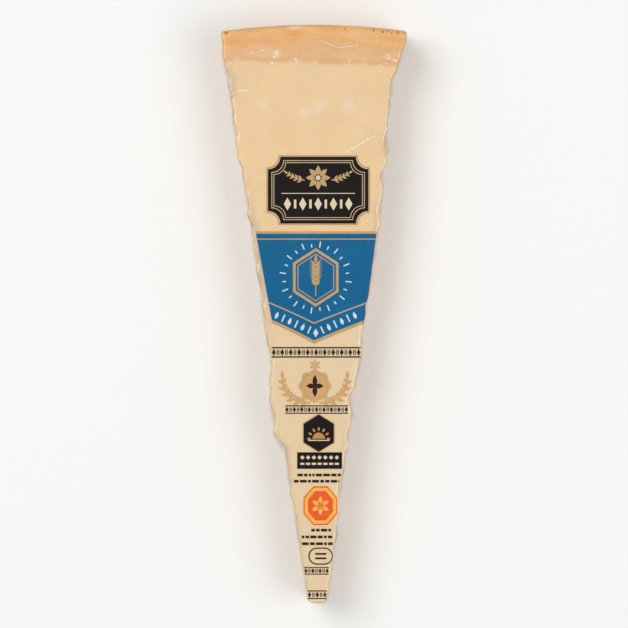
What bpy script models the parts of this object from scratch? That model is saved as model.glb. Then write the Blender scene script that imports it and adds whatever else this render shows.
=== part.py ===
"""A wedge of hard grating cheese, sealed in tight clear film and lying on a broad cut face.

Metres, +Z up. The wedge points along -Y and its rind is at +Y. The two broad faces are the
level cuts through the wheel, and the two long sides are where the wedge was broken out of it.
The origin is on the surface that it lies on, under the middle of the wedge's box.
"""

import math

import bmesh
import bpy
from mathutils import Vector

# The wedge
LENGTH = 0.1966  # from the tip to the middle of the rind
THICKNESS = 0.0250  # between the two broad faces
WHEEL_RADIUS = 0.225  # of the wheel whose rind ends the wedge
RIND_DEPTH = 0.0130  # of the hard rind, seen on a broad face
RIND_STEP = 0.0004  # how far the softer paste lies below the rind on the upper face
RIND_END, TIP_END = LENGTH / 2, -LENGTH / 2

# The long sides run straight from the tip to the rind: x at each end
LEFT, RIGHT = -1, 1
X_AT_TIP = {LEFT: -0.0020, RIGHT: 0.0044}
X_AT_RIND = {LEFT: -0.0319, RIGHT: 0.0291}

# At the rind a side stands out by this much more, and by less and less over the reach
FLARE = {LEFT: 0.0000, RIGHT: 0.0028}
FLARE_REACH = 0.0220

# Where a side broke unevenly: the side, the place along Y at the upper face, half the reach,
# how far it stands out (+) or is broken away (-), and how far along Y it slants down the side
BREAKS = (
    (LEFT, 0.0580, 0.0180, 0.0006, 0.004),
    (LEFT, -0.0060, 0.0130, 0.0005, 0.004),
    (LEFT, -0.0310, 0.0165, 0.0026, -0.003),
    (LEFT, -0.0405, 0.0050, 0.0016, -0.003),
    (RIGHT, 0.0530, 0.0045, 0.0009, 0.005),
    (RIGHT, 0.0475, 0.0035, -0.0006, 0.005),
    (RIGHT, 0.0400, 0.0040, 0.0005, 0.005),
    (RIGHT, 0.0260, 0.0460, 0.0015, 0.000),
    (RIGHT, -0.0170, 0.0095, 0.0011, 0.003),
    (RIGHT, -0.0290, 0.0050, -0.0011, 0.002),
    (RIGHT, -0.0372, 0.0040, 0.0006, 0.002),
    (RIGHT, -0.0600, 0.0080, -0.0005, -0.004),
    (RIGHT, -0.0735, 0.0060, 0.0005, -0.004),
)

# The grain of the broken sides: its height, and each wave's length along Y, its length along
# Z and its share of the height
GRAIN = 0.00028
GRAIN_WAVES = ((0.0191, 0.041, 0.9), (0.0107, -0.023, 0.7), (0.0063, 0.015, 0.6))
GRAIN_FADE = 0.030  # along Y, over which the grain grows from a third at the tip to the whole

# Rounded edges
EDGE_ROUND = 0.0012  # along the broad faces, more or less a quarter of it by turns
EDGE_WAVE = 0.037
RIND_ROUND = 0.0015  # round the rind's outer face
TIP_ROUND = 0.0019  # round the blunt tip

# How finely the solid is faceted
STATIONS = 90
FACE_STEPS = 6
SIDE_STEPS = 8
ROUND_STEPS = 3
CAP_SHARES = (0.7, 0.4)  # rings inside each end face, as shares of its outline

FILMED_CHEESE = (0.83, 0.60, 0.34)
FILM_ROUGHNESS = 0.22


def smooth_step(low, high, value):
    """0 below low, 1 above high, and a smooth rise between them."""
    share = min(max((value - low) / (high - low), 0.0), 1.0)
    return share * share * (3.0 - 2.0 * share)


def bump(distance, reach):
    """1 at no distance, falling smoothly to 0 at the reach."""
    return math.cos(0.5 * math.pi * min(abs(distance) / reach, 1.0)) ** 2


def grain(side, y, z):
    """The uneven relief of a broken side, as a sum of slanting waves."""
    height = 0.0
    for number, (along, across, share) in enumerate(GRAIN_WAVES):
        height += share * math.sin(2.0 * math.pi * (y / along + z / across) + 1.7 * number + side)
    fade = 1.0 - smooth_step(RIND_END - RIND_DEPTH, RIND_END, y)
    return GRAIN * height * fade * (1.0 + 2.0 * smooth_step(TIP_END, TIP_END + GRAIN_FADE, y)) / 3.0


def side_x(side, y, z):
    """Where a long side lies: its straight cut, the rind's flare, its breaks and its grain."""
    share = (y - TIP_END) / LENGTH
    straight = X_AT_TIP[side] + share * (X_AT_RIND[side] - X_AT_TIP[side])
    out = FLARE[side] * smooth_step(RIND_END - FLARE_REACH, RIND_END - RIND_ROUND, y)
    for broken_side, place, reach, height, slant in BREAKS:
        if broken_side == side:
            down = (THICKNESS - z) / THICKNESS
            out += height * bump(y - place - slant * down, reach)
    return straight + side * (out + grain(side, y, z))


def upper_z(y):
    """The height of the upper broad face, which steps down from the rind to the paste."""
    line = RIND_END - RIND_DEPTH
    return THICKNESS - RIND_STEP * (1.0 - smooth_step(line - 0.002, line + 0.002, y))


def side_profile(r, bottom, top):
    """(z, tuck) up a side: a rounded lower edge, the upright face and a rounded upper edge.

    The tuck is how far the rounding draws a point in from the side.
    """
    turns = [0.5 * math.pi * k / ROUND_STEPS for k in range(ROUND_STEPS + 1)]
    lower = [(bottom + r * (1.0 - math.sin(t)), r * (1.0 - math.cos(t))) for t in reversed(turns)]
    upper = [(top - r * (1.0 - math.sin(t)), r * (1.0 - math.cos(t))) for t in turns]
    step = (top - bottom - 2.0 * r) / SIDE_STEPS
    return lower + [(bottom + r + step * k, 0.0) for k in range(1, SIDE_STEPS)] + upper


def between(start, end, steps):
    """The points that divide the way from start to end, without the two ends."""
    return [start.lerp(end, k / steps) for k in range(1, steps)]


def section(y, inset=0.0):
    """The outline round the wedge at y, drawn in by inset: up the right side, then over."""
    r = EDGE_ROUND * (1.0 + 0.25 * math.sin(2.0 * math.pi * y / EDGE_WAVE))
    profile = side_profile(r, inset, upper_z(y) - inset)
    right = [Vector((side_x(RIGHT, y, z) - tuck - inset, y, z)) for z, tuck in profile]
    left = [Vector((side_x(LEFT, y, z) + tuck + inset, y, z)) for z, tuck in reversed(profile)]
    over = between(right[-1], left[0], FACE_STEPS)
    under = between(left[-1], right[0], FACE_STEPS)
    return right + over + left + under


def rounded_end(end, r, outward):
    """The sections that turn from the sides into an end face, and the rings inside that face."""
    turns = [0.5 * math.pi * k / ROUND_STEPS for k in range(1, ROUND_STEPS + 1)]
    rings = [section(end - outward * r * (1.0 - math.sin(t)), r * (1.0 - math.cos(t))) for t in turns]
    middle = sum(rings[-1], Vector()) / len(rings[-1])
    return rings + [[middle.lerp(point, share) for point in rings[-1]] for share in CAP_SHARES]


def on_wheel(point):
    """Bends the rind end back towards its corners, onto the wheel's round outer face."""
    sag = WHEEL_RADIUS - math.sqrt(WHEEL_RADIUS**2 - point.x**2)
    share = smooth_step(RIND_END - 1.6 * RIND_DEPTH, RIND_END, point.y)
    return Vector((point.x, point.y - sag * share, point.z))


def wedge_rings():
    """Every ring of points from the middle of the tip to the middle of the rind."""
    start, stop = TIP_END + TIP_ROUND, RIND_END - RIND_ROUND
    stations = [start + (stop - start) * k / STATIONS for k in range(STATIONS + 1)]
    rings = list(reversed(rounded_end(TIP_END, TIP_ROUND, -1)))
    rings += [section(y) for y in stations]
    rings += rounded_end(RIND_END, RIND_ROUND, 1)
    return [[on_wheel(point) for point in ring] for ring in rings]


def skin(rings):
    """A closed mesh through the rings, with each end shut by a fan about its middle."""
    bm = bmesh.new()
    loops = [[bm.verts.new(point) for point in ring] for ring in rings]
    for near, far in zip(loops, loops[1:]):
        for k in range(len(near)):
            bm.faces.new((near[k - 1], far[k - 1], far[k], near[k]))
    ends = [bm.faces.new(loops[0]), bm.faces.new(loops[-1])]
    bmesh.ops.poke(bm, faces=ends)
    bmesh.ops.recalc_face_normals(bm, faces=bm.faces)
    return bm


def centre_on_origin(bm):
    """Moves the mesh so that the middle of its box is over the origin and it lies on z = 0."""
    xs, ys, zs = zip(*(vertex.co for vertex in bm.verts))
    middle = Vector(((min(xs) + max(xs)) / 2, (min(ys) + max(ys)) / 2, min(zs)))
    bmesh.ops.translate(bm, verts=bm.verts, vec=-middle)


def cheese_material():
    """Straw-coloured cheese under glossy clear film."""
    material = bpy.data.materials.new("filmed_cheese")
    material.use_nodes = True
    shader = material.node_tree.nodes["Principled BSDF"]
    shader.inputs["Base Color"].default_value = (*FILMED_CHEESE, 1.0)
    shader.inputs["Roughness"].default_value = FILM_ROUGHNESS
    shader.inputs["Metallic"].default_value = 0.0
    return material


def make_wedge():
    """The film-packed wedge, as one solid out to the film."""
    bm = skin(wedge_rings())
    centre_on_origin(bm)
    mesh = bpy.data.meshes.new("wrapped_wedge")
    bm.to_mesh(mesh)
    bm.free()
    mesh.shade_smooth()
    mesh.set_sharp_from_angle(angle=math.radians(50.0))
    mesh.materials.append(cheese_material())
    wedge = bpy.data.objects.new("wrapped_wedge", mesh)
    bpy.context.collection.objects.link(wedge)
    return wedge


for scene_object in list(bpy.data.objects):
    bpy.data.objects.remove(scene_object, do_unlink=True)

make_wedge()
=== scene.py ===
"""The looks of a film-packed cheese wedge: grainy cheese with its rind, clear film and a printed front.

The wedge lies with its printed face up, its tip towards -Y and its rind at +Y. All sizes are in metres.
"""

import math

import bpy
import numpy as np
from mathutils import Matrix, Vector


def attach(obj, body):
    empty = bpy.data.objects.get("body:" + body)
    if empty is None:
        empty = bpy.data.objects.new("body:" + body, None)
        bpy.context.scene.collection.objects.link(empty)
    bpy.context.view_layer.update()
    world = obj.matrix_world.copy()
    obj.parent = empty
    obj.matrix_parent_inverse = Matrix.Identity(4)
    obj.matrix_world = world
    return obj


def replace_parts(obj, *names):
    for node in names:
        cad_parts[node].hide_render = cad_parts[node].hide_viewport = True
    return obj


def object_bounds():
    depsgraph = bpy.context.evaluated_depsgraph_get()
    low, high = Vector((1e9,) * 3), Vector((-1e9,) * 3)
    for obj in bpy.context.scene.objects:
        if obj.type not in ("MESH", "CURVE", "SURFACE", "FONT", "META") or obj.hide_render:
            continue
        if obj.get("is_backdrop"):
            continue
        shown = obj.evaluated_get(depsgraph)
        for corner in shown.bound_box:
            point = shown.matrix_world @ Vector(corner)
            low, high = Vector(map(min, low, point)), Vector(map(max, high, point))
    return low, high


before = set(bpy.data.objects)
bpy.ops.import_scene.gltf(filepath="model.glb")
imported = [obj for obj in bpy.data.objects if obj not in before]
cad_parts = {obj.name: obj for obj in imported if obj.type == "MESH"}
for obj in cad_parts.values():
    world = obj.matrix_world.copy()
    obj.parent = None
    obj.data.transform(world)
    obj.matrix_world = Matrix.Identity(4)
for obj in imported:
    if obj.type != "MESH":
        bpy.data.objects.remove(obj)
CAD_LOW, CAD_HIGH = (np.array(corner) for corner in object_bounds())

MM = 0.001

# The wedge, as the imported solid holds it
LENGTH = CAD_HIGH[1] - CAD_LOW[1]
THICKNESS = CAD_HIGH[2] - CAD_LOW[2]
RIND_END, TIP_END = LENGTH / 2, -LENGTH / 2
WHEEL_RADIUS = 225 * MM
RIND_DEPTH = 13 * MM
RIND_STEP = 0.4 * MM
LEFT, RIGHT = -1, 1
X_AT_TIP = {LEFT: -2.0 * MM, RIGHT: 4.4 * MM}
X_AT_RIND = {LEFT: -31.9 * MM, RIGHT: 29.1 * MM}
FLARE = {LEFT: 0.0, RIGHT: 2.8 * MM}
FLARE_REACH = 22 * MM
EDGE_ROUND, RIND_ROUND, TIP_ROUND, TIP_CORNER = 1.2 * MM, 1.5 * MM, 1.9 * MM, 1.4 * MM

# Where each side broke unevenly, in millimetres: the place along Y at the upper face, half the reach,
# how far it stands out or is broken away, and how far along Y it slants down the side. The packed
# solid has all but the first.
BREAKS = {
    LEFT: (
        (86.0, 11.0, 0.7, 0.0),
        (58.0, 18.0, 0.6, 4.0),
        (-6.0, 13.0, 0.5, 4.0),
        (-31.0, 16.5, 2.6, -3.0),
        (-40.5, 5.0, 1.6, -3.0),
    ),
    RIGHT: (
        (53.0, 4.5, 0.9, 5.0),
        (47.5, 3.5, -0.6, 5.0),
        (40.0, 4.0, 0.5, 5.0),
        (26.0, 46.0, 1.5, 0.0),
        (-17.0, 9.5, 1.1, 3.0),
        (-29.0, 5.0, -1.1, 2.0),
        (-37.2, 4.0, 0.6, 2.0),
        (-60.0, 8.0, -0.5, -4.0),
        (-73.5, 6.0, 0.5, -4.0),
    ),
}
GRAIN = 0.28 * MM
GRAIN_WAVES = ((19.1, 41.0, 0.9), (10.7, -23.0, 0.7), (6.3, 15.0, 0.6))
GRAIN_FADE = 30 * MM

# The relief of the broken sides, as (size, depth): swells, which the film follows, and crags under it
SWELLS = (13 * MM, 0.40 * MM), (5 * MM, 0.22 * MM)
CRAG, CHIP = (5.6 * MM, 1.00 * MM), (2.3 * MM, 0.55 * MM)
PROUD = 0.55 * MM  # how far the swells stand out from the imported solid's sides
PRESSED = 0.30 * MM  # of the crags' depth, above which the film presses the cheese flat
WEB = 0.5 * MM  # how far the cheese lies under the film just behind the rind
SWELL_SEED, CRAG_SEED = 3, 5

# The layers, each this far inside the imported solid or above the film
FILM_INSET = 0.15 * MM
FILM_GAP = 0.07 * MM
INK_LIFT = 0.05 * MM
INK_LAYER = 0.02 * MM
INK_THICKNESS = 0.015 * MM
HAIRS, HAIR = 23, 0.0008  # the lifts that one ink's shapes take in turn, and each in millimetres

# How finely the pieces are drawn
CHEESE_STEPS = (44, 392, 54)
FILM_STEPS = (40, 300, 44)
EDGE_STEPS = 4  # round each edge of the wedge
PIN_SIDES = 10
RIDGE_SIDES, RIDGE_STEPS = 8, 16
FINE_STEP = 0.45  # of the print where it wraps round an edge, in millimetres
LATTICE = 32  # random cubes each way, after which the noise repeats


def smooth_step(low, high, value):
    """0 below low, 1 above high, and a smooth rise between them."""
    share = np.clip((value - low) / (high - low), 0.0, 1.0)
    return share * share * (3.0 - 2.0 * share)


def bump(distance, reach):
    """1 at no distance, falling as a squared cosine to 0 at the reach."""
    return np.cos(0.5 * np.pi * np.minimum(np.abs(distance) / reach, 1.0)) ** 2


def turned(angle, length=1.0):
    """A step across and up, or one for each angle: its length at that angle from the way across."""
    return length * np.stack([np.cos(angle), np.sin(angle)], axis=-1)


def round_about(count):
    """Equal angles once round."""
    return 2.0 * np.pi * np.arange(count) / count


def side_x(side, y, z):
    """Where a long side lies: its straight cut, the rind's flare, its breaks and its slanting waves."""
    share = (y - TIP_END) / LENGTH
    straight = X_AT_TIP[side] + share * (X_AT_RIND[side] - X_AT_TIP[side])
    out = FLARE[side] * smooth_step(RIND_END - FLARE_REACH, RIND_END - RIND_ROUND, y)
    down = (THICKNESS - z) / THICKNESS
    for place, reach, height, slant in BREAKS[side]:
        out = out + height * MM * bump(y - (place + slant * down) * MM, reach * MM)
    waves = 0.0
    for number, (along, across, part) in enumerate(GRAIN_WAVES):
        waves += part * np.sin(2.0 * np.pi * (y / along + z / across) / MM + 1.7 * number + side)
    fade = 1.0 - smooth_step(RIND_END - RIND_DEPTH, RIND_END, y)
    fade = fade * (1.0 + 2.0 * smooth_step(TIP_END, TIP_END + GRAIN_FADE, y)) / 3.0
    return straight + side * (out + GRAIN * waves * fade)


def upper_z(y):
    """The height of the upper broad face, which steps down from the rind to the paste."""
    line = RIND_END - RIND_DEPTH
    return THICKNESS - RIND_STEP * (1.0 - smooth_step(line - 2 * MM, line + 2 * MM, y))


def on_wheel(points):
    """Bends the rind end back towards its corners, onto the wheel's round outer face."""
    sag = WHEEL_RADIUS - np.sqrt(WHEEL_RADIUS**2 - points[..., 0] ** 2)
    share = smooth_step(RIND_END - 1.6 * RIND_DEPTH, RIND_END, points[..., 1])
    bent = points.copy()
    bent[..., 1] -= sag * share
    return bent


def noise(points, cell, seed):
    """Smooth noise from -1 to 1: numbers drawn for the corners of cubes one cell wide, blended between."""
    drawn = np.random.default_rng(seed).uniform(-1.0, 1.0, (LATTICE,) * 3)
    corner = np.floor(points / cell).astype(int)
    share = smooth_step(corner, corner + 1, points / cell)
    total = np.zeros(len(points))
    for step in np.ndindex(2, 2, 2):
        weight = np.where(np.array(step) == 1, share, 1.0 - share).prod(axis=1)
        i, j, k = ((corner + step) % LATTICE).T
        total += weight * drawn[i, j, k]
    return total


def crags(points, cell, seed):
    """Broken patches about one cell wide: their depth from 0 to 1, and 1 on the borders between them.

    One middle is drawn in each cube of the cell's width. Each point is moved a little by noise, so
    that borders wander. Then it lies on the patch of the nearest middle, at that patch's depth plus
    its tilt times the way from the middle. A border is where the two nearest are equally near.
    """
    rng = np.random.default_rng(seed)
    middles, depths = rng.uniform(0.12, 0.88, (LATTICE,) * 3 + (3,)), rng.random((LATTICE,) * 3)
    tilts = rng.uniform(-0.6, 0.6, (LATTICE,) * 3 + (3,))
    wander = np.stack([noise(points, 0.5 * cell, seed + axis) for axis in range(3)], axis=1)
    points = points / cell + 0.16 * wander
    corner = np.floor(points).astype(int)
    nearest, second, depth = (np.full(len(points), start) for start in (9.0, 9.0, 0.0))
    for step in np.ndindex(3, 3, 3):
        cube = corner + step - 1
        i, j, k = (cube % LATTICE).T
        away = points - cube - middles[i, j, k]
        far = np.linalg.norm(away, axis=1)
        depth = np.where(far < nearest, depths[i, j, k] + (tilts[i, j, k] * away).sum(axis=1), depth)
        second = np.minimum(second, np.maximum(nearest, far))
        nearest = np.minimum(nearest, far)
    return np.clip(depth, 0.0, 1.0), 1.0 - smooth_step(0.02, 0.22, second - nearest)


def brokenness(points, normals):
    """1 on the broken sides and at the tip, 0 on the cut faces and the rind."""
    fade = 1.0 - smooth_step(RIND_END - 1.25 * RIND_DEPTH, RIND_END - 0.5 * RIND_DEPTH, points[:, 1])
    return fade * smooth_step(0.45, 0.98, np.hypot(normals[:, 0], np.minimum(normals[:, 1], 0.0)))


def film_dip(points, normals):
    """How far the film is drawn in: it follows the swells of the broken sides."""
    swells = sum(depth * (0.5 + 0.5 * noise(points, size, SWELL_SEED)) for size, depth in SWELLS)
    return brokenness(points, normals) * np.abs(normals[:, 0]) * (swells - PROUD)


def cheese_dip(points, normals):
    """How far the cheese lies below the film's outermost skin, with the crags that the film bridges.

    The crags are shallower by the broad faces. Just behind the rind the film makes a web.
    """
    crag = sum(depth * crags(points, size, CRAG_SEED)[0] for size, depth in (CRAG, CHIP))
    aside = np.abs(normals[:, 0])
    from_face = np.minimum(points[:, 2], upper_z(points[:, 1]) - points[:, 2])
    full = 0.25 + 0.75 * aside * smooth_step(0.5 * MM, 4 * MM, from_face)
    crag = np.maximum(crag - PRESSED, 0.0) * brokenness(points, normals) * full
    pocket = WEB * bump(points[:, 1] - (RIND_END - 1.6 * RIND_DEPTH), 1.1 * RIND_DEPTH)
    return film_dip(points, normals) + crag + pocket * aside**2


def grid_lines(inner_steps):
    """Three rises from 0 to 1, over a grid's first lines, its middle and its last lines.

    The lines across an edge stand closer towards the flat, so that they turn by equal angles.
    """
    turn = 1.0 - np.tan(0.25 * np.pi * (1.0 - np.linspace(0.0, 1.0, EDGE_STEPS + 1)))
    first = np.concatenate([turn, np.ones(inner_steps + EDGE_STEPS)])
    middle = np.pad(np.linspace(0.0, 1.0, inner_steps + 1), EDGE_STEPS, "edge")
    return first, middle, 1.0 - first[::-1]


def box_grid(counts):
    """The grid points on a box's six sides as (i, j, k), each point once, and their quads, facing out."""
    sides = []
    for axis in range(3):
        a, b = (axis + 1) % 3, (axis + 2) % 3
        corner = np.zeros((counts[a], counts[b], 4, 3), int)
        corner[..., a] = np.arange(counts[a])[:, None, None] + [0, 1, 1, 0]
        corner[..., b] = np.arange(counts[b])[None, :, None] + [0, 0, 1, 1]
        far = corner.copy()
        far[..., axis] = counts[axis]
        sides += [corner[:, :, ::-1].reshape(-1, 3), far.reshape(-1, 3)]
    points, quads = np.unique(np.concatenate(sides), axis=0, return_inverse=True)
    return points, quads.reshape(-1, 4)


def wedge_shell(inner_steps):
    """The wedge's outer surface before the rind is bent: points, their outward directions and quads.

    A box's grid is rounded by drawing each point towards the nearest point of a smaller box inside it,
    then its width is spread between the two long sides at that place and height, and narrowed by an
    arc at the tip. The lines along the wedge stand closer towards its long sides.
    """
    index, quads = box_grid([steps + 2 * EDGE_STEPS for steps in inner_steps])
    x, y, z = ([rise[index[:, axis]] for rise in grid_lines(inner_steps[axis])] for axis in range(3))
    x[1] = 0.5 * x[1] + 0.25 * (1.0 - np.cos(np.pi * x[1]))
    straight = LENGTH - TIP_ROUND - RIND_ROUND
    along = TIP_END + TIP_ROUND * y[0] + straight * y[1] + RIND_ROUND * y[2]
    top = upper_z(along)
    half = 0.5 * (side_x(RIGHT, along, 0.5 * top) - side_x(LEFT, along, 0.5 * top))
    low = np.stack([-half, np.full_like(half, TIP_END), np.zeros_like(half)], axis=1)
    high = np.stack([half, np.full_like(half, RIND_END), top], axis=1)
    r_low, r_high = (np.array([EDGE_ROUND, end, EDGE_ROUND]) for end in (TIP_ROUND, RIND_ROUND))
    across = low[:, 0] + EDGE_ROUND * (x[0] + x[2]) + (2.0 * half - 2.0 * EDGE_ROUND) * x[1]
    up = EDGE_ROUND * (z[0] + z[2]) + (top - 2.0 * EDGE_ROUND) * z[1]
    outer = np.stack([across, along, up], axis=1)
    inner = np.clip(outer, low + r_low, high - r_high)
    radii = np.where(outer < inner, r_low, r_high)
    out = (outer - inner) / radii
    normals = out / np.linalg.norm(out, axis=1, keepdims=True)
    points = inner + normals * radii
    left, right = (side_x(side, points[:, 1], points[:, 2]) for side in (LEFT, RIGHT))
    short = 1.0 - np.clip((points[:, 1] - TIP_END) / TIP_CORNER, 0.0, 1.0)
    narrowed = TIP_CORNER * (1.0 - np.sqrt(1.0 - short**2))
    points[:, 0] = 0.5 * (left + right) + (0.5 * (right - left) - narrowed) * points[:, 0] / half
    return points, normals, quads


def settled(points, normals, depth):
    """Draws points of the wedge's outer surface in by a depth, lays them down and bends the rind end."""
    inset = points - normals * (FILM_INSET + depth)[:, None]
    return on_wheel(inset - [0.0, 0.0, FILM_INSET])


def flat_half(side, y):
    """How far the flat of the front reaches from the middle line before the long edge turns."""
    return side * side_x(side, y, upper_z(y)) - EDGE_ROUND


def on_film(flat, lift):
    """Wraps a printed sheet's points, (s, y), over the film, lifted off it.

    s is the way across from the middle line: straight over the front, then round the long edge by an
    arc, then down the side.
    """
    s, y = flat.T
    points = np.stack([s, y, upper_z(y)], axis=1)
    normals = np.zeros_like(points)
    normals[:, 2] = 1.0
    for side in (LEFT, RIGHT):
        over = side * s - flat_half(side, y)
        turn = np.clip(over / EDGE_ROUND, 0.0, 0.5 * np.pi)
        down = np.maximum(over - 0.5 * np.pi * EDGE_ROUND, 0.0)
        z = upper_z(y) - EDGE_ROUND * (1.0 - np.cos(turn)) - down
        x = side_x(side, y, z) - side * EDGE_ROUND * (1.0 - np.sin(turn))
        past = over > 0.0
        points[past, 0], points[past, 2] = x[past], z[past]
        normals[past, 0], normals[past, 2] = side * np.sin(turn)[past], np.cos(turn)[past]
    return settled(points, normals, film_dip(points, normals) - lift)


def put(name, data):
    """Puts an object with this data into the scene."""
    item = bpy.data.objects.new(name, data)
    bpy.context.scene.collection.objects.link(item)
    return item


def link_piece(name, points, faces, finish, attributes=()):
    """Puts points and faces into a smooth piece that rides with the wedge."""
    mesh = bpy.data.meshes.new(name)
    mesh.from_pydata(points.tolist(), [], faces)
    mesh.shade_smooth()
    for title, values in attributes:
        mesh.attributes.new(title, "FLOAT", "POINT").data.foreach_set("value", values.astype(np.float32))
    mesh.materials.append(finish.material)
    piece = put(name, mesh)
    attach(piece, "root")
    return piece


def ring_faces(rings, count, both=True):
    """Quads between rings of count points each, and a fan to a pole point after the rings.

    Where both ends have poles, the one at the start is numbered last.
    """
    ring, place = np.meshgrid(np.arange(rings - 1), np.arange(count), indexing="ij")
    here, there = ring * count + place, ring * count + (place + 1) % count
    faces = np.stack([here, there, there + count, here + count], axis=-1).reshape(-1, 4).tolist()
    around = np.arange(count)
    onward, last, pole = (around + 1) % count, (rings - 1) * count, rings * count
    faces += np.stack([last + around, last + onward, np.full(count, pole)], axis=1).tolist()
    if both:
        faces += np.stack([np.full(count, pole + 1), onward, around], axis=1).tolist()
    return faces


def copied(faces, size, count):
    """The faces of a shape of so many points, again for each copy of its points."""
    return [[corner + size * number for corner in face] for number in range(count) for face in faces]


class Number:
    """A number that changes over a surface. Arithmetic on it adds Math nodes to its finish."""

    def __init__(self, finish, socket):
        self.finish, self.socket = finish, socket

    def math(self, operation, first, second, clamp=False):
        settings = {"operation": operation, "use_clamp": clamp}
        return self.finish.number("ShaderNodeMath", settings, {0: first, 1: second})

    def __add__(self, other):
        return self.math("ADD", self, other)

    def __sub__(self, other):
        return self.math("SUBTRACT", self, other)

    def __rsub__(self, other):
        return self.math("SUBTRACT", other, self)

    def __mul__(self, other):
        return self.math("MULTIPLY", self, other)

    def __pow__(self, other):
        return self.math("POWER", self, other)

    __radd__, __rmul__ = __add__, __mul__

    def clamped(self):
        return self.math("ADD", self, 0.0, clamp=True)

    def rise(self, low, high):
        """0 below low and 1 above high, with a smooth rise between them."""
        settings = {"interpolation_type": "SMOOTHSTEP"}
        inputs = {"Value": self, "From Min": low, "From Max": high}
        return self.finish.number("ShaderNodeMapRange", settings, inputs)


class Finish:
    """A material on one Principled shader, and the ways to add nodes to it."""

    def __init__(self, name, **constants):
        self.material = bpy.data.materials.new(name)
        self.material.use_nodes = True
        self.tree = self.material.node_tree
        self.shader = self.tree.nodes["Principled BSDF"]
        for title, value in constants.items():
            self.feed(title.replace("_", " "), value)

    def feed(self, socket, value):
        """Gives one of the shader's sockets a value or a link."""
        self.join(self.shader.inputs[socket], value)

    def join(self, socket, value):
        value = value.socket if isinstance(value, Number) else value
        if isinstance(value, bpy.types.NodeSocket):
            self.tree.links.new(value, socket)
        else:
            socket.default_value = value

    def node(self, kind, settings=None, inputs=None):
        """Adds a node, with its settings first and then the values or links of its sockets."""
        node = self.tree.nodes.new(kind)
        for title, value in (settings or {}).items():
            setattr(node, title, value)
        for place, value in (inputs or {}).items():
            self.join(node.inputs[place], value)
        return node

    def number(self, kind, settings=None, inputs=None, output=0):
        return Number(self, self.node(kind, settings, inputs).outputs[output])

    def place(self, stretch=(1.0, 1.0, 1.0)):
        """The point's own Object coordinates in metres, stretched along X, Y and Z."""
        spot = self.node("ShaderNodeTexCoord").outputs["Object"]
        return self.node("ShaderNodeMapping", None, {"Vector": spot, "Scale": stretch}).outputs[0]

    def coordinates(self):
        """X, Y and Z of the point, each as a number."""
        parts = self.node("ShaderNodeSeparateXYZ", None, {0: self.place()})
        return [Number(self, socket) for socket in parts.outputs]

    def attribute(self, title):
        return self.number("ShaderNodeAttribute", {"attribute_name": title}, None, "Fac")

    def noise(self, size, detail=2.0, stretch=(1.0, 1.0, 1.0)):
        """Noise from 0 to 1 with lumps of about the given size in metres."""
        inputs = {"Vector": self.place(stretch), "Scale": 1.0 / size, "Detail": detail}
        return self.number("ShaderNodeTexNoise", None, inputs)

    def specks(self, pitch, radius, share):
        """1 in small round specks and 0 between them: one in a share of the cells, a pitch apart."""
        cells = self.node("ShaderNodeTexVoronoi", None, {"Vector": self.place(), "Scale": 1.0 / pitch})
        far = Number(self, cells.outputs["Distance"])
        drawn = self.number("ShaderNodeSeparateColor", None, {0: cells.outputs["Color"]})
        return (1.0 - far.rise(0.6 * radius, 1.3 * radius)) * drawn.rise(1.0 - share, 1.02 - share)

    def mix(self, share, start, end):
        """The colour that lies the share of the way from start to end."""
        inputs = {0: share, 6: start, 7: end}
        return self.node("ShaderNodeMix", {"data_type": "RGBA"}, inputs).outputs[2]

    def coats(self, base, *coats):
        """Coats laid over a base colour in turn, each with its share and its colour."""
        for share, shade in coats:
            base = self.mix(share, base, shade)
        return base

    def thin(self, share):
        """Leaves only a share of the shader, and clear film for the rest."""
        clear = self.node("ShaderNodeBsdfTransparent").outputs[0]
        mixed = self.node("ShaderNodeMixShader", None, {0: share, 1: clear, 2: self.shader.outputs[0]})
        self.join(self.tree.nodes["Material Output"].inputs["Surface"], mixed.outputs[0])

    def relief(self, height):
        """Feeds the shader's Normal from a height in metres."""
        inputs = {"Height": height, "Strength": 1.0, "Distance": 1.0}
        self.feed("Normal", self.node("ShaderNodeBump", None, inputs).outputs[0])


def colour(red, green, blue):
    """A display colour of 0 to 255 as the linear colour that a shader takes."""
    parts = [part / 255 for part in (red, green, blue)]
    return (*(p / 12.92 if p <= 0.04045 else ((p + 0.055) / 1.055) ** 2.4 for p in parts), 1.0)


# The cheese

PASTE = colour(235, 202, 154)
PASTE_SHADE = colour(230, 196, 148)
PASTE_LOWER = colour(228, 202, 162)
PASTE_TIP = colour(236, 217, 174)
PASTE_PALE = colour(237, 207, 163)
# Painted shade: the front greyed beside the long edges, where the cheese curves away under slack film
PASTE_PAINTED_SHADE = colour(200, 180, 156)
# Pale spots of the paste and rind, some of them painted glints of the film
SPOT_AND_GLINT = colour(236, 210, 178)
CRYSTAL = colour(246, 234, 212)
CRAG_LIGHT = colour(253, 220, 170)
# Painted shade on the broken sides: darker in the deeper crags, darker still in the crevices between them
CRAG_PAINTED_SHADE = colour(240, 202, 148)
CREVICE_PAINTED_SHADE = colour(212, 160, 104)
RIND = colour(229, 171, 102)
RIND_INNER = colour(226, 178, 126)
RIND_LINE = colour(204, 152, 84)
RIND_PALE = colour(236, 196, 148)
RIND_SPOT_AND_GLINT = colour(243, 212, 176)
RIND_DARK = colour(206, 146, 84)
RIND_OUTSIDE = colour(222, 168, 104)
PIN_MARK = colour(142, 94, 50)
RIND_SLANT = 40.0  # millimetres that the rind's inner line slants for each metre across the face
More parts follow.
